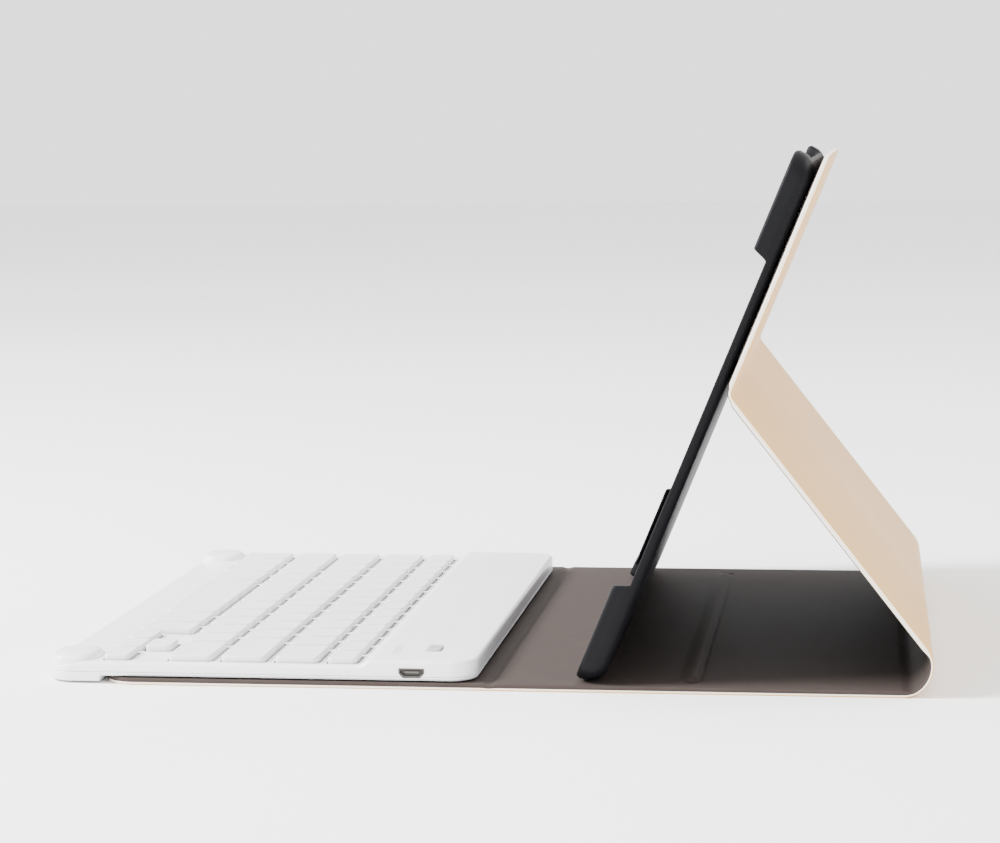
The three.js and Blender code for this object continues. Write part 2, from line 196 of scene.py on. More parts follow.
# ---- cover: sizes, in millimetres -----------------------------------------------------------------
HALF_WIDTH = box_mm("base_skin")[1].y
PANEL_START = box_mm("front_panel_skin")[0].x
THICK = 2.2  # a boarded panel, from the outside of the leather to the face of the lining
THIN = 1.2  # where there is no board
SKIN_MIDDLE = 0.25
CORNER = 10.0
FRONT_FOLD = axis_of("front_fold")[0]
CREASE = 5.3  # half the length of the strip that crosses the front fold
SPINE_TURN = math.radians(64)
SPINE_RADIUS = 10.0
SPINE_START = axis_of("spine_fold_1")[0] - SPINE_RADIUS * SPINE_TURN / 2
BACK_TURN = math.radians(60.5)
BACK_AXIS = axis_of("back_fold")
VALLEY_RADIUS = 2.75  # of the back fold, in the leather's middle
VALLEY_REACH = 5.6  # half the length of the strip that crosses the back fold
UPPER_BACK = 80.8
LOWER_TILT = 2 * SPINE_TURN
UPPER_TILT = LOWER_TILT - BACK_TURN
RIDGE_AT = (box_mm("base_front_board")[1].x + box_mm("base_rear_board")[0].x) / 2


# ---- numbers ---------------------------------------------------------------------------------------
def mix(a, b, t):
    return a + (b - a) * t


def smoothstep(value, start, end):
    t = min(1.0, max(0.0, (value - start) / (end - start)))
    return t * t * (3 - 2 * t)


def spread(start, end, steps):
    return [mix(start, end, k / steps) for k in range(steps + 1)]


def arc(cx, cy, radius, start, end, steps):
    """Points on an arc between two angles in degrees."""
    turns = [math.radians(a) for a in spread(start, end, steps)]
    return [(cx + radius * math.cos(a), cy + radius * math.sin(a)) for a in turns]


class Panel:
    """A flat frame in the x-z plane: s runs along it, h to its inner side, y is the row frame's y."""

    def __init__(self, origin, tilt, reach=1):
        self.origin = origin
        self.along = (reach * math.cos(tilt), reach * math.sin(tilt))
        self.inward = (-math.sin(tilt), math.cos(tilt))

    def at(self, s, y, h):
        x = self.origin[0] + s * self.along[0] + h * self.inward[0]
        z = self.origin[1] + s * self.along[1] + h * self.inward[1]
        return (x, y, z)


# ---- mesh helpers ---------------------------------------------------------------------------------
def tidy(obj, sharp=35.0):
    """Merges doubled points, turns the faces outwards and sets smooth shading."""
    work = bmesh.new()
    work.from_mesh(obj.data)
    bmesh.ops.remove_doubles(work, verts=work.verts, dist=4e-6)
    bmesh.ops.dissolve_degenerate(work, edges=work.edges, dist=1e-6)
    bmesh.ops.recalc_face_normals(work, faces=work.faces)
    work.to_mesh(obj.data)
    work.free()
    obj.data.shade_smooth()
    obj.data.set_sharp_from_angle(angle=math.radians(sharp))
    return obj


def make_object(name, points, faces, materials, slots=None, sharp=35.0):
    """A smooth-shaded mesh object from points in millimetres."""
    mesh = bpy.data.meshes.new(name)
    mesh.from_pydata([Vector(p) * MM for p in points], [], faces)
    for material in materials:
        mesh.materials.append(material)
    if slots is not None:
        mesh.polygons.foreach_set("material_index", slots)
    obj = bpy.data.objects.new(name, mesh)
    bpy.context.scene.collection.objects.link(obj)
    return tidy(obj, sharp)


def bake(obj):
    """Applies the object's modifiers to its mesh."""
    graph = bpy.context.evaluated_depsgraph_get()
    mesh = bpy.data.meshes.new_from_object(obj.evaluated_get(graph))
    obj.modifiers.clear()
    obj.data = mesh
    return tidy(obj)


def boolean(obj, other, operation="DIFFERENCE"):
    """Cuts away or joins another object, which is then gone."""
    modifier = obj.modifiers.new("boolean", "BOOLEAN")
    modifier.object = other
    modifier.operation = operation
    modifier.solver = "EXACT"
    modifier.material_mode = "TRANSFER"
    bake(obj)
    bpy.data.objects.remove(other)
    return obj


def joined(name, objects):
    """One object from several, keeping their materials."""
    work = bmesh.new()
    materials = []
    for obj in objects:
        first = len(work.faces)
        work.from_mesh(obj.data)
        work.faces.ensure_lookup_table()
        for material in obj.data.materials:
            if material not in materials:
                materials.append(material)
        slots = [materials.index(material) for material in obj.data.materials]
        for face in work.faces[first:]:
            face.material_index = slots[face.material_index]
        bpy.data.objects.remove(obj)
    mesh = bpy.data.meshes.new(name)
    work.to_mesh(mesh)
    work.free()
    for material in materials:
        mesh.materials.append(material)
    obj = bpy.data.objects.new(name, mesh)
    bpy.context.scene.collection.objects.link(obj)
    return tidy(obj)


def grid_faces(rows, closed=False):
    """Quads between consecutive rows of equal length."""
    count = len(rows[0])
    faces = []
    for k in range(len(rows) - 1):
        for i in range(count if closed else count - 1):
            j = (i + 1) % count
            faces.append((k * count + i, k * count + j, (k + 1) * count + j, (k + 1) * count + i))
    return faces


def flat(rows):
    return [point for row in rows for point in row]


def loft(name, rings, materials, sharp=35.0):
    """A closed solid through rings of equal length, capped by flat faces at both ends."""
    count = len(rings[0])
    faces = grid_faces(rings, closed=True)
    faces.append(tuple(range(count)))
    faces.append(tuple(range((len(rings) - 1) * count, len(rings) * count)))
    return make_object(name, flat(rings), faces, materials, sharp=sharp)


def rounded_outline(x0, x1, y0, y1, radius, steps=6):
    """A rectangle with round corners, anticlockwise."""
    r = radius
    return (arc(x1 - r, y0 + r, r, -90, 0, steps) + arc(x1 - r, y1 - r, r, 0, 90, steps)
            + arc(x0 + r, y1 - r, r, 90, 180, steps) + arc(x0 + r, y0 + r, r, 180, 270, steps))


def block(name, x, y, z, radius, materials, edge=0.0, steps=6):
    """An upright block with round corners and, if asked for, rounded top edges."""
    rings = [(0.0, z[0]), (0.0, z[1] - edge)]
    if edge > 0:
        rings += [(edge * (1 - math.cos(a)), z[1] - edge * (1 - math.sin(a)))
                  for a in (math.radians(22.5 * k) for k in range(1, 5))]
    outlines = [[(*p, height) for p in rounded_outline(x[0] + d, x[1] - d, y[0] + d, y[1] - d,
                                                       max(radius - d, 0.05), steps)]
                for d, height in rings]
    return loft(name, outlines, materials)


# ---- materials -------------------------------------------------------------------------------------
class Nodes:
    """A short way to write one material's node tree."""

    def __init__(self, name, roughness, specular=0.5):
        self.material = bpy.data.materials.new(name)
        self.material.use_nodes = True
        self.tree = self.material.node_tree
        self.shader = self.tree.nodes["Principled BSDF"]
        self.set("Roughness", roughness)
        self.set("Specular IOR Level", specular)
        self.place = self.tree.nodes.new("ShaderNodeTexCoord").outputs["Object"]

    def set(self, key, value):
        self.shader.inputs[key].default_value = value

    def add(self, kind, inputs=None, **settings):
        node = self.tree.nodes.new(kind)
        for key, value in settings.items():
            setattr(node, key, value)
        for key, value in (inputs or {}).items():
            if isinstance(value, bpy.types.NodeSocket):
                self.tree.links.new(value, node.inputs[key])
            else:
                node.inputs[key].default_value = value
        return node

    def link(self, socket, key):
        self.tree.links.new(socket, self.shader.inputs[key])

    def noise(self, scale, detail=3.0, roughness=0.5, stretch=(1, 1, 1)):
        """Noise in the row frame; the scale is in cycles a metre."""
        place = self.add("ShaderNodeMapping", {"Vector": self.place, "Scale": stretch})
        settings = {"Scale": scale, "Detail": detail, "Roughness": roughness}
        return self.add("ShaderNodeTexNoise", {"Vector": place.outputs[0], **settings}).outputs[0]

    def cells(self, scale, feature="DISTANCE_TO_EDGE"):
        node = self.add("ShaderNodeTexVoronoi", feature=feature)
        self.tree.links.new(self.place, node.inputs["Vector"])
        node.inputs["Scale"].default_value = scale
        return node.outputs["Distance"]

    def ramp(self, factor, stops):
        node = self.add("ShaderNodeValToRGB", {"Fac": factor})
        elements = node.color_ramp.elements
        for element, (position, color) in zip(elements, stops):
            element.position = position
            element.color = (*color, 1)
        return node.outputs["Color"]

    def between(self, factor, low, high):
        inputs = {"Value": factor, "To Min": low, "To Max": high}
        return self.add("ShaderNodeMapRange", inputs).outputs["Result"]

    def bump(self, height, distance, strength=1.0, under=None):
        inputs = {"Height": height, "Distance": distance, "Strength": strength}
        if under is not None:
            inputs["Normal"] = under
        return self.add("ShaderNodeBump", inputs).outputs["Normal"]


def leather(name, low, high, roughness):
    """Smooth PU leather with a fine pebble grain and a slow drift of colour."""
    n = Nodes(name, roughness, 0.4)
    n.link(n.ramp(n.noise(14, 2), [(0.35, low), (0.65, high)]), "Base Color")
    grain = n.bump(n.cells(1500), 0.00006, 0.4)
    n.link(n.bump(n.noise(5200, 2), 0.00003, 0.4, grain), "Normal")
    n.link(n.between(n.noise(900, 3), roughness - 0.06, roughness + 0.08), "Roughness")
    n.set("Sheen Weight", 0.12)
    n.set("Sheen Roughness", 0.4)
    return n.material


def microfibre():
    """Taupe lining cloth: a short brushed nap with a soft sheen."""
    n = Nodes("lining_cloth", 0.62, 0.03)
    nap = n.noise(60, 4, 0.6, stretch=(1, 3, 1))
    n.link(n.ramp(nap, [(0.3, (0.044, 0.034, 0.031)), (0.7, (0.052, 0.041, 0.037))]), "Base Color")
    weave = n.bump(n.noise(3200, 4, 0.7), 0.00006, 0.5)
    n.link(n.bump(n.noise(400, 3, 0.6, stretch=(1, 2, 1)), 0.00005, 0.3, weave), "Normal")
    n.link(n.between(nap, 0.56, 0.66), "Roughness")
    return n.material


def moulded(name, color, roughness, grain=2600, coat=0.0):
    """Moulded plastic with a fine spark-eroded grain."""
    n = Nodes(name, roughness)
    low = tuple(0.97 * c for c in color)
    n.link(n.ramp(n.noise(25, 2), [(0.3, low), (0.7, color)]), "Base Color")
    n.link(n.bump(n.noise(grain, 3, 0.6), 0.00002, 0.4), "Normal")
    n.link(n.between(n.noise(grain / 3, 2), roughness - 0.03, roughness + 0.05), "Roughness")
    n.set("Coat Weight", coat)
    n.set("Coat Roughness", 0.15)
    return n.material


def black_moulding():
    """Matt black, with a sandy grain that catches a soft sheen."""
    n = Nodes("tray_black", 0.36, 0.09)
    n.link(n.ramp(n.noise(40, 2), [(0.3, (0.004, 0.004, 0.005)), (0.7, (0.0045, 0.0045, 0.0057))]),
           "Base Color")
    sand = n.bump(n.cells(2600, "F1"), 0.00005, 0.4)
    n.link(n.bump(n.noise(6000, 2), 0.00002, 0.3, sand), "Normal")
    n.link(n.between(n.noise(1400, 3), 0.44, 0.54), "Roughness")
    return n.material


def metal(name, color, roughness, stretch=(1, 40, 1)):
    n = Nodes(name, roughness)
    brushed = n.noise(900, 3, 0.6, stretch)
    low = tuple(c * 0.85 for c in color)
    n.link(n.ramp(brushed, [(0.3, low), (0.7, color)]), "Base Color")
    n.link(n.between(brushed, roughness - 0.05, roughness + 0.1), "Roughness")
    n.set("Metallic", 1.0)
    return n.material


def pressed_board():
    n = Nodes("stiffener_board", 0.9, 0.2)
    fibres = n.noise(1200, 4, 0.7)
    n.link(n.ramp(fibres, [(0.3, (0.2, 0.19, 0.17)), (0.7, (0.3, 0.28, 0.25))]), "Base Color")
    n.link(n.bump(n.noise(2400, 3), 0.00005, 0.5), "Normal")
    return n.material


def solder_mask():
    n = Nodes("circuit_board", 0.4)
    tracks = n.cells(220)
    n.link(n.ramp(tracks, [(0.02, (0.05, 0.22, 0.12)), (0.08, (0.02, 0.13, 0.07))]), "Base Color")
    return n.material


def floor_paint():
    n = Nodes("floor", 0.85, 0.1)
    n.link(n.ramp(n.noise(3, 2), [(0.3, (0.93, 0.93, 0.93)), (0.7, (0.95, 0.95, 0.95))]), "Base Color")
    return n.material


GOLD = leather("leather_champagne", (0.66, 0.375, 0.115), (0.70, 0.405, 0.135), 0.5)
# Pale edge colour: painted reflection of the bright surroundings on the leather's turned edges.
EDGE_REFLECTION_PALE = leather("leather_edge_painted_reflection", (0.84, 0.74, 0.63), (0.88, 0.79, 0.69), 0.5)
LINING = microfibre()
BLACK = black_moulding()
# The faint lilac tint of the white shell is painted light: it stands for the cool light on the keyboard's near wall.
WHITE = moulded("shell_white", (0.835, 0.833, 0.86), 0.3)
# Grey well walls: painted shade in the deep gaps between the keys, where the real shell is white.
WELL_SHADE = moulded("well_painted_shade", (0.22, 0.22, 0.225), 0.6)
KEY_WHITE = moulded("keycap_white", (0.76, 0.755, 0.765), 0.42, grain=3800)
STEEL = metal("steel", (0.62, 0.63, 0.65), 0.32)
CARD = pressed_board()
TAPE = moulded("adhesive_sheet", (0.7, 0.69, 0.62), 0.7)
FILM = moulded("polyester_film", (0.6, 0.66, 0.7), 0.25)
LENS = moulded("light_window", (0.72, 0.76, 0.74), 0.25, coat=0.4)
SILICONE = moulded("silicone", (0.5, 0.5, 0.48), 0.7)
POUCH = metal("battery_foil", (0.6, 0.61, 0.62), 0.4, stretch=(1, 1, 1))
MASK = solder_mask()
KNOB = moulded("switch_grey", (0.42, 0.42, 0.44), 0.4)
# Near-black: painted shade on the port hole's walls and on a plug inside the socket's mouth.
PORT_SHADE = moulded("port_painted_shade", (0.012, 0.012, 0.012), 0.4)
# Dark brown socket and tongue: partly the tongue's own dark plastic, partly painted shade on the steel shell deep in
# the port.
SOCKET_AND_SHADE = moulded("socket_dark_painted_shade", (0.10, 0.085, 0.07), 0.45)
# Near-black dome sheet: partly the sheet's own dark silicone, partly painted shade at the bottom of the key wells.
DOMES_AND_GAP_SHADE = moulded("dome_silicone_gap_shade", (0.03, 0.03, 0.032), 0.7)


# ---- cover: stations along it, and the sections of its two skins ----------------------------------
class Station:
    """A place along the cover: a point (x, z) in the leather's middle, the tilt of the cover there,
    its thickness, and how far the leather wraps round its side edge, from 0, half way up, to 1, on
    to the inner face."""

    def __init__(self, x, z, tilt, thick, wrap):
        self.panel = Panel((x, z), tilt)
        self.tilt, self.thick, self.wrap = tilt, thick, wrap

    def at(self, y, h):
        """A point at a height above the cover's outer face."""
        return self.panel.at(0, y, h - SKIN_MIDDLE)


SEAM_AT = 2.1  # the pressed line inside each edge
SEAM_DEPTH = 0.16
FLANGE = 1.45
HEM = 1.1  # how far the lining stays back from a wrapped edge
LEATHER = 0.4
CLOTH = 0.28


def edge_height(thick, wrap):
    """How high the leather comes up the edge."""
    return mix(0.42 * thick, thick - 0.32, wrap)


def leather_section(thick, wrap):
    """(inset from the panel's edge, height above its outer face), from the outer face round the edge
    to the flange on the inside."""
    end = edge_height(thick, wrap)
    low_turn = min(0.55, end * 0.5)
    high_turn = mix(0.06, min(0.5, end * 0.4), wrap)
    seam = [(SEAM_AT + 0.32, 0), (SEAM_AT + 0.12, SEAM_DEPTH * 0.7), (SEAM_AT, SEAM_DEPTH),
            (SEAM_AT - 0.12, SEAM_DEPTH * 0.7), (SEAM_AT - 0.32, 0), (1.0, 0)]
    low = [(low_turn * (1 - math.sin(a)), low_turn * (1 - math.cos(a)))
           for a in (math.radians(15 * k) for k in range(1, 7))]
    high = [(high_turn * (1 - math.cos(a)), end - high_turn * (1 - math.sin(a)))
            for a in (math.radians(18 * k) for k in range(6))]
    return seam + low + high + [(FLANGE, end)]


def lining_section(thick, wrap):
    """(inset, height) from the lining's face to its raw edge."""
    low = edge_height(thick, wrap) + 0.02
    inset = mix(0.0, HEM, wrap)
    turn = mix(0.45, 0.12, wrap)
    over = [(inset + turn * (1 - math.sin(a)), thick - turn * (1 - math.cos(a)))
            for a in (math.radians(15 * k) for k in range(7))]
    return [(inset + 2.0, thick)] + over + [(inset, low)]


PALE_FROM = 0.35  # the share of the edge's height where the paler colour, a painted reflection of the bright surroundings, starts


def leather_slots(section):
    """The paler colour on the upper part of the edge and on the flange: a painted reflection of the bright
    surroundings.
    """
    start = PALE_FROM * section[-1][1]
    return [1 if (a[1] + b[1]) / 2 > start else 0 for a, b in zip(section, section[1:])]


def thickened(obj, thickness, outside):
    """Gives an open skin its thickness, away from the side that faces `outside`."""
    biggest = max(obj.data.polygons, key=lambda face: face.area)
    if biggest.normal.dot(Vector(outside)) < 0:
        obj.data.flip_normals()
    modifier = obj.modifiers.new("solidify", "SOLIDIFY")
    modifier.thickness = thickness * MM
    modifier.offset = -1
    modifier.use_even_offset = True
    return bake(obj)


def outer_side(panel):
    return (-panel.inward[0], 0, -panel.inward[1])


def inner_side(panel):
    return (panel.inward[0], 0, panel.inward[1])


def swept_rows(stations, section_of):
    """Rows along the stations, from the near edge of the section over the middle to the far edge."""
    sections = [section_of(station.thick, station.wrap) for station in stations]
    count = len(sections[0])
    near = [[station.at(-HALF_WIDTH + section[k][0], section[k][1])
             for station, section in zip(stations, sections)] for k in reversed(range(count))]
    far = [[station.at(HALF_WIDTH - section[k][0], section[k][1])
            for station, section in zip(stations, sections)] for k in range(count)]
    return near + far


def per_face(slots, count):
    return [slot for slot in slots for _ in range(count)]


def leather_strip(name, stations):
    """The leather along some stations, from edge to edge."""
    rows = swept_rows(stations, leather_section)
    slots = leather_slots(leather_section(THICK, 1))
    slots = list(reversed(slots)) + [0] + slots
    obj = make_object(name, flat(rows), grid_faces(rows), [GOLD, EDGE_REFLECTION_PALE],
                      per_face(slots, len(stations) - 1))
    return thickened(obj, LEATHER, outer_side(stations[0].panel))


def lining_strip(name, stations):
    rows = swept_rows(stations, lining_section)
    obj = make_object(name, flat(rows), grid_faces(rows), [LINING])
    return thickened(obj, CLOTH, inner_side(stations[0].panel))


def end_rows(panel, length, section):
    """Rows along one side of an end panel, round its two corners and back along the other side."""
    rows = []
    for inset, h in section:
        radius = CORNER - inset
        half = HALF_WIDTH - inset
        turn = length - inset - radius
        outline = [(0, -half)] + arc(turn, -half + radius, radius, -90, 0, 14)
        outline += arc(turn, half - radius, radius, 0, 90, 14) + [(0, half)]
        rows.append([panel.at(s, y, h - SKIN_MIDDLE) for s, y in outline])
    return rows


def end_sheet(name, panel, length, section, materials, slots):
    """One skin of an end panel, before it has its thickness."""
    rows = end_rows(panel, length, section)
    count = len(rows[0])
    faces = grid_faces(rows) + [tuple(range(count))]
    return make_object(name, flat(rows), faces, materials, per_face(slots, count - 1) + [0])


def end_leather(name, panel, length, wrap, hole=None):
    section = leather_section(THICK, wrap)
    obj = end_sheet(name, panel, length, section, [GOLD, EDGE_REFLECTION_PALE], leather_slots(section))
    thickened(obj, LEATHER, outer_side(panel))
    return boolean(obj, hole) if hole else obj


def end_lining(name, panel, length, wrap, hole=None):
    section = lining_section(THICK, wrap)
    obj = end_sheet(name, panel, length, section, [LINING], [0] * (len(section) - 1))
    thickened(obj, CLOTH, inner_side(panel))
    return boolean(obj, hole) if hole else obj


# ---- cover: the path of each piece -----------------------------------------------------------------
CREASED = 1.75  # thickness on the front fold's line
FOLDED = 1.5  # thickness in the bend of the back fold
BOARD_FADE = 5.0  # how far a board's thickness runs out into the soft spine


def front_thickness(x):
    return mix(CREASED, THICK, smoothstep(abs(x - FRONT_FOLD), 0.2, 2.4))


def crease_stations():
    places = spread(FRONT_FOLD - CREASE, FRONT_FOLD + CREASE, 28)
    return [Station(x, SKIN_MIDDLE, 0, front_thickness(x), 0) for x in places]


def base_stations():
    places = spread(FRONT_FOLD + CREASE, SPINE_START, 8)
    return [Station(x, SKIN_MIDDLE, 0, THICK, 0) for x in places]


def spine_station(turn):
    x = SPINE_START + SPINE_RADIUS * math.sin(turn)
    z = SKIN_MIDDLE + SPINE_RADIUS * (1 - math.cos(turn))
    from_board = SPINE_RADIUS * min(turn, LOWER_TILT - turn)
    thick = mix(THICK, THIN, smoothstep(from_board, 0.0, BOARD_FADE))
    return Station(x, z, turn, thick, smoothstep(turn, 0, LOWER_TILT))


def spine_stations(half):
    turns = spread(half * SPINE_TURN, (half + 1) * SPINE_TURN, 26)
    return [spine_station(turn) for turn in turns]


LOWER_END = spine_station(LOWER_TILT)
LOWER_PANEL = Panel(BACK_AXIS, LOWER_TILT, -1)
UPPER_PANEL = Panel(BACK_AXIS, UPPER_TILT)


def lower_back_stations():
    x, _, z = LOWER_END.at(0, SKIN_MIDDLE)
    last_x, _, last_z = LOWER_PANEL.at(VALLEY_REACH, 0, 0)
    return [Station(mix(x, last_x, k / 8), mix(z, last_z, k / 8), LOWER_TILT, THICK, 1)
            for k in range(9)]


def valley_stations():
    """Across the back fold: a straight run, the bend round a centre on the leather's side, and
    another straight run."""
    reach = VALLEY_RADIUS * math.tan(BACK_TURN / 2)
    centre = LOWER_PANEL.at(reach, 0, -VALLEY_RADIUS)
    stations = []
    for k in range(4):
        x, _, z = LOWER_PANEL.at(mix(VALLEY_REACH, reach, k / 4), 0, 0)
        stations.append(valley_station(x, z, LOWER_TILT, mix(VALLEY_REACH - reach, 0, k / 4)))
    for k in range(25):
        tilt = mix(LOWER_TILT, UPPER_TILT, k / 24)
        x = centre[0] - VALLEY_RADIUS * math.sin(tilt)
        z = centre[2] + VALLEY_RADIUS * math.cos(tilt)
        stations.append(valley_station(x, z, tilt, 0))
    for k in range(1, 5):
        x, _, z = UPPER_PANEL.at(mix(reach, VALLEY_REACH, k / 4), 0, 0)
        stations.append(valley_station(x, z, UPPER_TILT, mix(0, VALLEY_REACH - reach, k / 4)))
    return stations


def valley_station(x, z, tilt, from_bend):
    thick = mix(FOLDED, THICK, smoothstep(from_bend, 0.0, 1.6))
    return Station(x, z, tilt, thick, 1)


# ---- cover: the base lining's relief -----------------------------------------------------------------
RIDGE_HEIGHT = 0.8
RIDGE_END = 116.0  # how far the ridge reaches to each side
CREASE_DEPTH = 0.36  # of the pressed line behind the ridge
DIMPLE_DEPTH = 0.8
DIMPLE_NEAR = 11.0  # from the near edge
DIMPLE_FAR = 14.0  # from the far edge


def ridge_height(x, y):
    """A raised soft ridge across the base, gentle on the typist's side and steep behind."""
    along = min(1.0, max(0.0, (RIDGE_END - abs(y)) / 3.0))
    rise = smoothstep(x, RIDGE_AT - 5.0, RIDGE_AT - 0.2)
    fall = 1 - smoothstep(x, RIDGE_AT + 0.2, RIDGE_AT + 1.7)
    crease = -CREASE_DEPTH * math.exp(-((x - RIDGE_AT - 2.2) / 0.6) ** 2)
    return (RIDGE_HEIGHT * rise * fall + crease) * smoothstep(along, 0, 1)


def dimple(x, y, at_y):
    across = (x - RIDGE_AT) / 2.8
    far = (y - at_y) / 3.2
    return -DIMPLE_DEPTH * math.exp(-1.6 * (across * across + far * far))


def base_relief(x, y):
    near = dimple(x, y, DIMPLE_NEAR - HALF_WIDTH)
    far = dimple(x, y, HALF_WIDTH - DIMPLE_FAR)
    return ridge_height(x, y) + near + far


def base_lining():
    """The lining over the base: a fine grid, raised by the relief."""
    places = spread(FRONT_FOLD + CREASE, RIDGE_AT - 7, 10) + spread(RIDGE_AT - 6.5, RIDGE_AT + 5, 26)
    places += spread(RIDGE_AT + 7, SPINE_START, 9)
    section = lining_section(THICK, 0)
    inner = spread(3.0, 23.0, 14) + [30, 45, 65, 90, 126]
    whole = [(inset, THICK) for inset in reversed(inner)] + section[1:]
    rows = []
    for side, order in ((-1, reversed(whole)), (1, whole)):
        for inset, h in order:
            y = side * (HALF_WIDTH - inset)
            lift = smoothstep(inset, 0.4, 2.0)
            rows.append([(x, y, h + lift * base_relief(x, y)) for x in places])
    obj = make_object("lining_base", flat(rows), grid_faces(rows), [LINING])
    return thickened(obj, CLOTH, (0, 0, 1))


# ---- cover: put together ----------------------------------------------------------------------------
CAMERA_HOLE = (63, 107, 6.5)  # along the upper back, across it, radius


def hole_through_back():
    """A cutter for the camera hole, through the tray and the upper back."""
    along, across, radius = CAMERA_HOLE
    rings = []
    for h, grow in ((-3, 0.5), (-0.45, 0.5), (0.1, 0.0), (8, 0.0)):
        circle = arc(along, across, radius + grow, 0, 360, 48)[:-1]
        rings.append([UPPER_PANEL.at(s, y, h) for s, y in circle])
    return loft("hole", rings, [])


BLEND_INSET = 1.1


def stored_sheet(obj, length, rests_on):
    """States a sheet's flat size: the cover's width by the length along the cover."""
    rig.sheet(obj, flat=(2 * HALF_WIDTH * MM, length * MM), held="stretched", rests_on=rests_on)


def build_front_panel():
    panel = Panel((FRONT_FOLD - CREASE, SKIN_MIDDLE), 0, -1)
    length = FRONT_FOLD - CREASE - PANEL_START
    skin = end_leather("leather_front_panel", panel, length, 0)
    cloth = end_lining("lining_front_panel", panel, length, 0)
    for obj in (skin, cloth):
        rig.ride(obj, "front_panel")
        stored_sheet(obj, length, ["front_panel_board"])
    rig.replaces(skin, "front_panel_skin")
    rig.replaces(cloth, "front_panel_lining")


def blend_run(stations):
    """The two ends of a strip's blend, a little inside it so that its ends sit fully on one body."""
    first = Vector(stations[0].at(0, 0)) * MM
    last = Vector(stations[-1].at(0, 0)) * MM
    step = (last - first).normalized() * BLEND_INSET * MM
    return first + step, last - step


def run_length(stations):
    places = [Vector(station.at(0, SKIN_MIDDLE)) for station in stations]
    return sum((b - a).length for a, b in zip(places, places[1:]))


def build_strip(name, stations, bodies, nodes):
    """A soft strip of leather and lining between two bodies."""
    length = run_length(stations)
    skin = leather_strip(f"leather_{name}", stations)
    cloth = lining_strip(f"lining_{name}", stations)
    start, end = blend_run(stations)
    for obj, node in zip((skin, cloth), nodes):
        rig.blend(obj, *bodies, start, end)
        stored_sheet(obj, length, [])
        if node:
            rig.replaces(obj, node)


def build_base():
    skin = leather_strip("leather_base", base_stations())
    cloth = base_lining()
    length = SPINE_START - FRONT_FOLD - CREASE
    for obj, node in ((skin, "base_skin"), (cloth, "base_lining")):
        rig.ride(obj, "base")
        stored_sheet(obj, length, ["base_rear_board"])
        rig.replaces(obj, node)


def build_lower_back():
    stations = lower_back_stations()
    skin = leather_strip("leather_lower_back", stations)
    cloth = lining_strip("lining_lower_back", stations)
    length = run_length(stations)
    for obj, node in ((skin, "lower_back_skin"), (cloth, "lower_back_lining")):
        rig.ride(obj, "lower_back")
        stored_sheet(obj, length, ["lower_back_board"])
        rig.replaces(obj, node)


def build_upper_back():
    x, _, z = UPPER_PANEL.at(VALLEY_REACH, 0, 0)
    panel = Panel((x, z), UPPER_TILT)
    length = UPPER_BACK - VALLEY_REACH
    skin = end_leather("leather_upper_back", panel, length, 1, hole_through_back())
    cloth = end_lining("lining_upper_back", panel, length, 1, hole_through_back())
    for obj, node in ((skin, "upper_back_skin"), (cloth, "upper_back_lining")):
        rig.ride(obj, "upper_back")
        stored_sheet(obj, length, ["upper_back_board"])
        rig.replaces(obj, node)


def build_cover():
    build_front_panel()
    build_strip("front_fold", crease_stations(), ("front_panel", "base"), (None, None))
    build_base()
    build_strip("spine_lower", spine_stations(0), ("base", "spine"), ("spine_skin", "spine_lining"))
    build_strip("spine_upper", spine_stations(1), ("spine", "lower_back"), (None, None))
    build_lower_back()
    build_strip("back_fold", valley_stations(), ("lower_back", "upper_back"), (None, None))
    build_upper_back()


# ---- tray ---------------------------------------------------------------------------------------------
TRAY_START = -103.4
TRAY_LENGTH = 181.7
TRAY_BACK = 2.35  # above the leather's middle
TRAY_CORNER = 9.0
TRAY_TOP = 8.6  # above the tray's own back
RIM_TOP = 3.6
LIP = 0.85
LIP_REACH = 1.6
BAY_FLOOR = 1.55
BAY_IN = (3.55, 1.5)  # from the outside to the bay, at the ends and at the sides
BACK_ROUND = (6.5, 5.0)
GRIP_ALONG = 34.0
GRIP_ACROSS = 30.0
FILLET = 2.0


def grip_share(s, y):
    """1 on the corner grips and 0 on the low rim between them."""
    from_end = min(s - TRAY_START, TRAY_START + TRAY_LENGTH - s)
    from_side = HALF_WIDTH - abs(y)
    along = 1 - smoothstep(from_end, GRIP_ALONG - 1.2, GRIP_ALONG + 1.6)
    across = 1 - smoothstep(from_side, GRIP_ACROSS - 1.2, GRIP_ACROSS + 1.6)
    return min(along, across)


def out_at(height, radius):
    """How far in the rounded back edge lies at a height."""
    if height >= radius:
        return 0.0
    return radius - math.sqrt(radius ** 2 - (radius - height) ** 2)


def grip_section(bay, radius):
    """(inset, height above the tray's back) over a corner grip, from the back to the bay's floor."""
    top, lip_in = TRAY_TOP, bay + LIP_REACH
    back = [(radius * (1 - math.sin(a)), radius * (1 - math.cos(a)))
            for a in (math.radians(9 * k) for k in range(11))]
    wall = [(-0.1, mix(radius, top, 0.45)), (0, top - 1.1)]
    front = [(1.1 * (1 - math.cos(a)), top - 1.1 * (1 - math.sin(a)))
             for a in (math.radians(18 * k) for k in range(1, 6))]
    lip = [(lip_in - 0.35, top), (lip_in - 0.1, top - 0.1), (lip_in, top - 0.35),
           (lip_in - 0.05, top - LIP + 0.12), (lip_in - 0.2, top - LIP)]
    inside = [(bay + 0.15, top - LIP), (bay, top - LIP - 0.15), (bay, BAY_FLOOR + FILLET)]
    return back + wall + front + lip + inside + bay_fillet(bay)


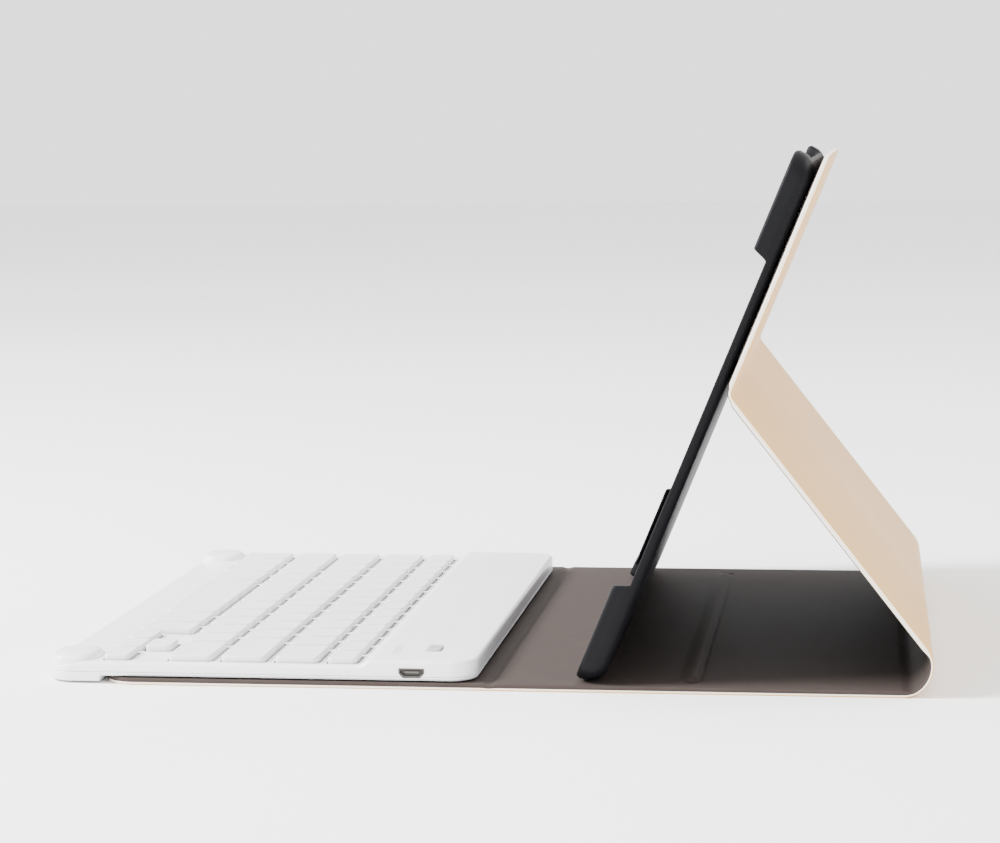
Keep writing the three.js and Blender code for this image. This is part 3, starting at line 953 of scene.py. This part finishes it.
def rim_section(bay, radius):
    """The same run of points over the low rim."""
    last = RIM_TOP - 0.45
    back = [(out_at(h, radius), h) for h in (last * (1 - math.cos(math.radians(8.5 * k)))
                                             / (1 - math.cos(math.radians(85))) for k in range(11))]
    outside = back[-1][0]
    wall = [(mix(outside, out_at(last + 0.04, radius), t), last + 0.04 * t) for t in (0.5, 1)]
    front = [(outside + 0.4 * (1 - math.cos(a)), last + 0.45 * math.sin(a))
             for a in (math.radians(18 * k) for k in range(1, 6))]
    start = outside + 0.45
    end = bay - 0.2
    lip = [(mix(start, end, k / 4), RIM_TOP) for k in range(5)]
    inside = [(bay - 0.12, RIM_TOP - 0.02), (bay - 0.04, RIM_TOP - 0.07), (bay, BAY_FLOOR + FILLET)]
    return back + wall + front + lip + inside + bay_fillet(bay)


def bay_fillet(bay):
    return [(bay + FILLET * (1 - math.cos(a)), BAY_FLOOR + FILLET * (1 - math.sin(a)))
            for a in (math.radians(15 * k) for k in range(1, 7))]


def grip_places(length, grip):
    """Places along a straight side, closer together where a grip runs out."""
    near = [grip - 1.6, grip - 1.2] + spread(grip - 0.9, grip + 1.6, 8) + [grip + 2.0]
    places = [TRAY_CORNER] + near + [length / 2]
    return places + [length - place for place in reversed(places[:-1])]


def tray_outline():
    """(s, y, direction in, in the outline's order) right round the tray."""
    s0, s1 = TRAY_START, TRAY_START + TRAY_LENGTH
    half = HALF_WIDTH
    sides = grip_places(TRAY_LENGTH, GRIP_ALONG)
    ends = grip_places(2 * half, GRIP_ACROSS)
    outline = [(s0 + p, -half, None) for p in sides]
    outline += tray_corner(s1, -half, -90)
    outline += [(s1, -half + p, None) for p in ends]
    outline += tray_corner(s1, half, 0)
    outline += [(s1 - p, half, None) for p in sides]
    outline += tray_corner(s0, half, 90)
    outline += [(s0, half - p, None) for p in ends]
    outline += tray_corner(s0, -half, 180)
    return outline


def tray_corner(s, y, start):
    """The turning points of a corner, without its two ends, as angles."""
    return [(s, y, math.radians(start + 90 * k / 10)) for k in range(1, 10)]


def tray_point(place, inset, height):
    """A point of the tray at an inset from its outline; place is one of tray_outline's."""
    s, y, turn = place
    if turn is not None:
        centre_s = s - math.copysign(TRAY_CORNER, s - TRAY_START - TRAY_LENGTH / 2)
        centre_y = y - math.copysign(TRAY_CORNER, y)
        reach = TRAY_CORNER - inset
        return UPPER_PANEL.at(centre_s + reach * math.cos(turn), centre_y + reach * math.sin(turn),
                              TRAY_BACK + height)
    if abs(y) == HALF_WIDTH:
        return UPPER_PANEL.at(s, y - math.copysign(inset, y), TRAY_BACK + height)
    end = 1 if s > 0 else -1
    return UPPER_PANEL.at(s - end * inset, y, TRAY_BACK + height)


def tray_section(place):
    s, y, turn = place
    end_share = math.cos(turn) ** 2 if turn is not None else (0.0 if abs(y) == HALF_WIDTH else 1.0)
    bay = mix(BAY_IN[1], BAY_IN[0], end_share)
    radius = mix(BACK_ROUND[1], BACK_ROUND[0], end_share)
    share = 1.0 if turn is not None else grip_share(s, y)
    return [(mix(a[0], b[0], share), mix(a[1], b[1], share))
            for a, b in zip(rim_section(bay, radius), grip_section(bay, radius))]


def build_tray():
    outline = tray_outline()
    sections = [tray_section(place) for place in outline]
    rings = [[tray_point(place, *section[k]) for place, section in zip(outline, sections)]
             for k in range(len(sections[0]))]
    tray = loft("tray", rings, [BLACK], sharp=40)
    boolean(tray, hole_through_back())
    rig.ride(tray, "upper_back")
    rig.replaces(tray, "tray_shell")


# ---- keyboard: body ------------------------------------------------------------------------------------
KEYBOARD_LOW, KEYBOARD_HIGH = box_mm("keyboard_bottom_shell")
K = KEYBOARD_LOW.x
K_END = KEYBOARD_HIGH.x
K_NEAR = KEYBOARD_LOW.y
K_FAR = KEYBOARD_HIGH.y
K_MIDDLE = (K_NEAR + K_FAR) / 2
K_HALF = (K_FAR - K_NEAR) / 2
K_CORNER = 9.0
CHIN = 19.0
CHIN_BOTTOM = 0.6
BOTTOM = 2.5
PARTING = 4.0
FLOOR_TURN = 1.6
DECK = 7.2
FRONT_EDGE = 5.9
BAR = 9.2
WALL = 1.3
FRONT_RISE = 15.0  # how far the deck rises behind the typist's edge
BAR_START = 103.4
BAR_TOP = 108.2  # where the slope up to the bar ends
TOP_FILLET = 1.3


def deck_height(x):
    """The top of the keyboard: rising behind the typist's edge, flat under the keys, then the bar."""
    front = mix(FRONT_EDGE, DECK, smoothstep(x - K, 0.0, FRONT_RISE))
    return front + (BAR - DECK) * smoothstep(x - K, BAR_START, BAR_TOP)


def floor_height(x):
    return mix(CHIN_BOTTOM, BOTTOM, smoothstep(x - K, CHIN - 0.8, CHIN))


def keyboard_ring(inset, height_of):
    """A ring round the keyboard at an inset; each near point has its mirror image on the far side."""
    radius = K_CORNER - inset
    half = K_HALF - inset
    front = arc(K + inset + radius, -half + radius, radius, 180, 270, 9)
    rear = arc(K_END - inset - radius, -half + radius, radius, 270, 360, 9)
    places = [K + p for p in (11.5, 13, FRONT_RISE, 18.2, 18.4, 18.6, 18.8, CHIN, 60, BAR_START)]
    places += [K + p for p in spread(103.7, BAR_TOP, 15)] + [K + 120]
    run = front + [(x, -half) for x in places] + rear
    near = [(x, K_MIDDLE + y, height_of(x)) for x, y in run]
    far = [(x, K_MIDDLE - y, height_of(x)) for x, y in run]
    return near + list(reversed(far))


def keyboard_solid(name, sections):
    """A solid from rings, capped by faces that cross it from side to side."""
    rings = [keyboard_ring(inset, height_of) for inset, height_of in sections]
    count = len(rings[0])
    half = count // 2
    faces = grid_faces(rings, closed=True)
    for first in (0, (len(rings) - 1) * count):
        for i in range(half - 1):
            faces.append((first + i, first + i + 1, first + count - 2 - i, first + count - 1 - i))
    return make_object(name, flat(rings), faces, [WHITE])


def level(z):
    return lambda x: z


def top_at(drop):
    return lambda x: deck_height(x) - drop


def floor_at(lift):
    return lambda x: floor_height(x) + lift


def turn_at(share):
    """A height in the rounded lower edge, which keeps below the parting line where the shell is thin."""
    return lambda x: mix(floor_height(x), min(floor_height(x) + FLOOR_TURN, PARTING - 0.35), share)


def top_solid():
    turn = [(TOP_FILLET * (1 - math.cos(a)), top_at(TOP_FILLET * (1 - math.sin(a))))
            for a in (math.radians(15 * k) for k in range(7))]
    return keyboard_solid("keyboard_top", [(0.12, level(PARTING)), (0.0, level(PARTING + 0.12))] + turn)


def top_cavity():
    inner = [(WALL, level(PARTING - 1)), (WALL, top_at(WALL + 1.0)), (WALL + 0.4, top_at(WALL + 0.3)),
             (WALL + 1.0, top_at(WALL))]
    return keyboard_solid("cavity", inner)


MOUNT_IN = (8.6, 10.9)  # a bump's middle, from the typist's edge and from the side
MOUNT_HALF = (7.9, 10.4)
MOUNT_SQUARE = 2.6  # the exponent of its outline: 2 would be an ellipse
MOUNT_RINGS = ((1.0, 4.6), (1.0, 7.2), (0.985, 7.9), (0.95, 8.5), (0.89, 8.95), (0.79, 9.28),
               (0.6, 9.48), (0.35, 9.56))  # share of the outline, height


def squared(value):
    """A sine or cosine on the bump's squarish outline."""
    return abs(value) ** (2 / MOUNT_SQUARE) * math.copysign(1, value)


def corner_mount(side):
    """A low glossy bump on a corner of the typist's edge, which keeps the screen off the keys."""
    cx, cy = K + MOUNT_IN[0], K_MIDDLE + side * (K_HALF - MOUNT_IN[1])
    turns = [2 * math.pi * k / 48 for k in range(48)]
    rings = []
    for grow, z in MOUNT_RINGS:
        rings.append([(cx + MOUNT_HALF[0] * grow * squared(math.cos(a)),
                       cy + MOUNT_HALF[1] * grow * squared(math.sin(a)), z) for a in turns])
    return loft("mount", rings, [WHITE], sharp=50)


PORT = (K + 121.2, 8.2, 3.0, 5.2)  # x, width, height, z
SWITCH = (K + 125.7, -102.0, 5.4, 13.0)  # x, y, slot across, slot along
LIGHTS = (K + 114.0, -106.0, 7.0, 0.9)  # x, y, pitch, radius


def port_outline(grow):
    """The port's section: two square upper corners and two cut lower ones."""
    w, low, h = PORT[1] / 2 + grow, PORT[1] / 2 - 1.4 + grow, PORT[2] / 2 + grow
    corners = [(-low, -h), (low, -h), (w, -0.1), (w, h), (-w, h), (-w, -0.1)]
    return [(PORT[0] + x, PORT[3] + z) for x, z in corners]


def port_run(name, grow, start, end, materials):
    outline = port_outline(grow)
    rings = [[(x, y, z) for x, z in outline] for y in (start, end)]
    return loft(name, rings, materials)


def port_hole():
    """A cutter for the port, through the near wall of either shell; its near-black faces paint the shade on the hole's
    walls.
    """
    return port_run("port_hole", 0.12, K_NEAR - 1, K_NEAR + 3, [PORT_SHADE])


def switch_slot():
    x, y, across, along = SWITCH
    return block("slot", (x - across / 2, x + across / 2), (y - along / 2, y + along / 2),
                 (BAR - WALL - 1, BAR + 1), 1.2, [WHITE])


def light_slot(grow, z):
    x, y, pitch, radius = LIGHTS
    r = radius + grow
    return block("lights", (x - r, x + r), (y - r - pitch, y + r + pitch), z, r, [LENS], steps=8)


PITCH = 16.7
KEY_GAP = 3.0
WELL_GAP = 0.65


def key_places(node):
    """The places of a node's keys, as (x range, y range, z range): a row of letters has several."""
    low, high = box_mm(node)
    count = round((high.y - low.y + KEY_GAP) / PITCH) if node.startswith("keys_") else 1
    width = (high.y - low.y + KEY_GAP) / count
    starts = [low.y + n * width for n in range(count)]
    return [((low.x, high.x), (y, y + width - KEY_GAP), (low.z, high.z)) for y in starts]


def well(x, y):
    """A cutter for one key's well; its grey faces pass to the shell's cut walls and paint the shade in the gaps
    between the keys.
    """
    return block("well", (x[0] - WELL_GAP, x[1] + WELL_GAP), (y[0] - WELL_GAP, y[1] + WELL_GAP),
                 (PARTING - 0.5, 12), 1.6, [WELL_SHADE], steps=4)


UNDER_KEYS = ("key_support_plate", "key_membrane", "key_dome_sheet")
KEY_NODES = sorted(name for name in frame["nodes"]
                   if name.startswith(("key_", "keys_")) and name not in UNDER_KEYS)


def build_keyboard_body():
    top = boolean(top_solid(), top_cavity())
    for side in (-1, 1):
        boolean(top, corner_mount(side), "UNION")
    wells = [well(x, y) for name in KEY_NODES for x, y, _ in key_places(name)]
    boolean(top, joined("wells", wells))
    boolean(top, switch_slot())
    boolean(top, light_slot(0.1, (BAR - 3, BAR + 1)))
    boolean(top, port_hole())
    top.name = "keyboard_top"
    bottom = bottom_shell()
    for obj, node in ((top, "keyboard_top_shell"), (bottom, "keyboard_bottom_shell")):
        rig.ride(obj, "keyboard")
        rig.replaces(obj, node)


def bottom_shell():
    turn = [(FLOOR_TURN * (1 - math.sin(a)), turn_at(1 - math.cos(a)))
            for a in (math.radians(15 * k) for k in range(7))]
    rim = [(0.14, level(PARTING - 0.1)), (0.0, level(PARTING - 0.25))]
    shell = keyboard_solid("keyboard_bottom", rim + list(reversed(turn)))
    cavity = keyboard_solid("cavity", [(WALL, level(PARTING + 1)), (WALL, floor_at(WALL + 0.2)),
                                       (WALL + 0.6, floor_at(WALL))])
    boolean(shell, cavity)
    return boolean(shell, port_hole())


# ---- keyboard: keys --------------------------------------------------------------------------------
CAP_EDGE = ((0.0, 0.45), (0.05, 0.22), (0.16, 0.08), (0.34, 0.02), (0.6, 0.0), (1.3, 0.05),
            (2.2, 0.11))  # inset from the cap's side, drop below its top


def keycap(x, y, z):
    """A low cap: upright sides, a rounded edge and a shallow dish along it."""
    radius = 1.5
    steps = [(0.0, z[0])] + [(inset, z[1] - drop) for inset, drop in CAP_EDGE]
    rings = [[(*p, height) for p in rounded_outline(x[0] + d, x[1] - d, y[0] + d, y[1] - d,
                                                    max(radius - d, 0.15), 5)]
             for d, height in steps]
    return loft("cap", rings, [KEY_WHITE])


def build_keys():
    for node in KEY_NODES:
        key = joined(f"cap_{node}", [keycap(*place) for place in key_places(node)])
        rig.ride(key, node)
        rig.replaces(key, node)


# ---- keyboard: port, switch, lights and feet ---------------------------------------------------------
SOCKET_RUN = (K_NEAR + 0.35, K_NEAR + 6.4)
SOCKET_WALL = 0.35
SOCKET_END = K_NEAR + 5.6  # how far in its mouth goes


def build_port():
    socket = port_run("charging_socket", 0.0, *SOCKET_RUN, [SOCKET_AND_SHADE])
    boolean(socket, port_run("mouth", -SOCKET_WALL, K_NEAR - 1, SOCKET_END, [SOCKET_AND_SHADE]))
    x, _, _, z = PORT
    tongue = block("tongue", (x - 2.4, x + 2.4), (K_NEAR + 0.9, K_NEAR + 1.7), (z - 0.15, z + 0.45), 0.2,
                   [SOCKET_AND_SHADE])
    # A near-black plug inside the mouth: painted shade of the deep socket.
    lining = port_run("port_shade_plug", -0.33, K_NEAR + 1.5, K_NEAR + 2.0, [PORT_SHADE])
    port = joined("charging_socket", [socket, tongue, lining])
    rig.ride(port, "keyboard")
    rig.replaces(port, "charging_port")


def build_switch():
    low, high = box_mm("power_switch_knob")
    knob = block("switch_knob", (low.x, high.x), (low.y, high.y), (low.z, high.z), 1.1, [KNOB], edge=0.3)
    for k in range(3):
        y = (low.y + high.y) / 2 + (k - 1) * 1.3
        groove = block("groove", (low.x + 0.7, high.x - 0.7), (y - 0.22, y + 0.22),
                       (high.z - 0.2, high.z + 1), 0.2, [KNOB])
        boolean(knob, groove)
    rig.ride(knob, "power_switch")
    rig.replaces(knob, "power_switch_knob")


def build_lights():
    low, high = box_mm("indicator_window")
    window = light_slot(0.0, (low.z, high.z))
    window.name = "light_window"
    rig.ride(window, "keyboard")
    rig.replaces(window, "indicator_window")


def build_feet():
    for node in ("chin_foot_near", "chin_foot_far"):
        low, high = box_mm(node)
        rings = []
        for d, z in ((0.5, low.z), (0.15, low.z + 0.12), (0.0, low.z + 0.3), (0.0, high.z)):
            outline = rounded_outline(low.x + d, high.x - d, low.y + d, high.y - d, 3.9 - d, 8)
            rings.append([(*p, z) for p in outline])
        foot = loft(f"foot_{node}", rings, [SILICONE])
        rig.ride(foot, "keyboard")
        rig.replaces(foot, node)


# ---- the CAD pieces that stay ----------------------------------------------------------------------
KEPT = {
    "base_front_board": CARD, "base_rear_board": CARD, "front_panel_board": CARD,
    "lower_back_board": CARD, "upper_back_board": CARD, "keyboard_keeper_plate": STEEL,
    "tray_adhesive_sheet": TAPE, "key_support_plate": STEEL, "key_membrane": FILM,
    "key_dome_sheet": DOMES_AND_GAP_SHADE, "battery": POUCH, "main_circuit_board": MASK,
    "power_switch_body": STEEL,
}


def colour_kept():
    for node, material in KEPT.items():
        obj = bpy.data.objects[node]
        obj.data.materials.clear()
        obj.data.materials.append(material)


# ---- stage ------------------------------------------------------------------------------------------
def area_light(name, place, aim, size, power):
    data = bpy.data.lights.new(name, "AREA")
    data.shape = "DISK"
    data.size = size
    data.energy = power
    lamp = bpy.data.objects.new(name, data)
    lamp.location = place
    lamp.rotation_euler = (Vector(aim) - Vector(place)).to_track_quat("-Z", "Y").to_euler()
    bpy.context.scene.collection.objects.link(lamp)
    return lamp


def build_floor():
    size = 6.0
    points = [(-size, -size, 0), (size, -size, 0), (size, size, 0), (-size, size, 0)]
    mesh = bpy.data.meshes.new("floor")
    mesh.from_pydata(points, [], [(0, 1, 2, 3)])
    mesh.materials.append(floor_paint())
    floor = bpy.data.objects.new("floor", mesh)
    bpy.context.scene.collection.objects.link(floor)
    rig.stage(floor)


def build_light():
    world = bpy.data.worlds.new("studio")
    world.use_nodes = True
    background = world.node_tree.nodes["Background"]
    background.inputs["Color"].default_value = (1.0, 1.0, 1.0, 1)
    background.inputs["Strength"].default_value = 2.1
    bpy.context.scene.world = world
    area_light("key_light", (-1.5, -0.45, 1.25), (0, 0, 0.05), 0.7, 150)
    area_light("fill_light", (0.3, -1.9, 0.5), (0, 0, 0.06), 1.0, 8)
    area_light("rim_light", (1.5, 0.7, 1.1), (0, 0, 0.08), 0.7, 14)


def build_camera():
    """The camera looks a little down at the case's near side."""
    yaw, pitch, roll = math.radians(7.097), math.radians(-5.696), math.radians(-0.352)
    forward = Vector((-math.sin(yaw) * math.cos(pitch), math.cos(yaw) * math.cos(pitch), math.sin(pitch)))
    level_right = Vector((math.cos(yaw), math.sin(yaw), 0))
    level_up = level_right.cross(forward)
    right = level_right * math.cos(roll) + level_up * math.sin(roll)
    up = level_up * math.cos(roll) - level_right * math.sin(roll)
    data = bpy.data.cameras.new("camera")
    data.lens = 105.84  # mm
    data.sensor_width = 36  # mm
    camera = bpy.data.objects.new("camera", data)
    place = Vector((0.12073, -1.0454, 0.1789))
    turn = Matrix((right, up, -forward)).transposed().to_4x4()
    camera.matrix_world = Matrix.Translation(place) @ turn
    bpy.context.scene.collection.objects.link(camera)
    bpy.context.scene.camera = camera


def write_size():
    low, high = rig.bounds()
    numbers = {
        "cad_low_m": list(cad_low), "cad_high_m": list(cad_high),
        "visual_low_m": list(low), "visual_high_m": list(high),
    }
    with open("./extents.json", "w") as out:
        json.dump(numbers, out, indent=1)


build_cover()
build_tray()
build_keyboard_body()
build_keys()
build_port()
build_switch()
build_lights()
build_feet()
colour_kept()
build_floor()
build_light()
build_camera()
write_size()
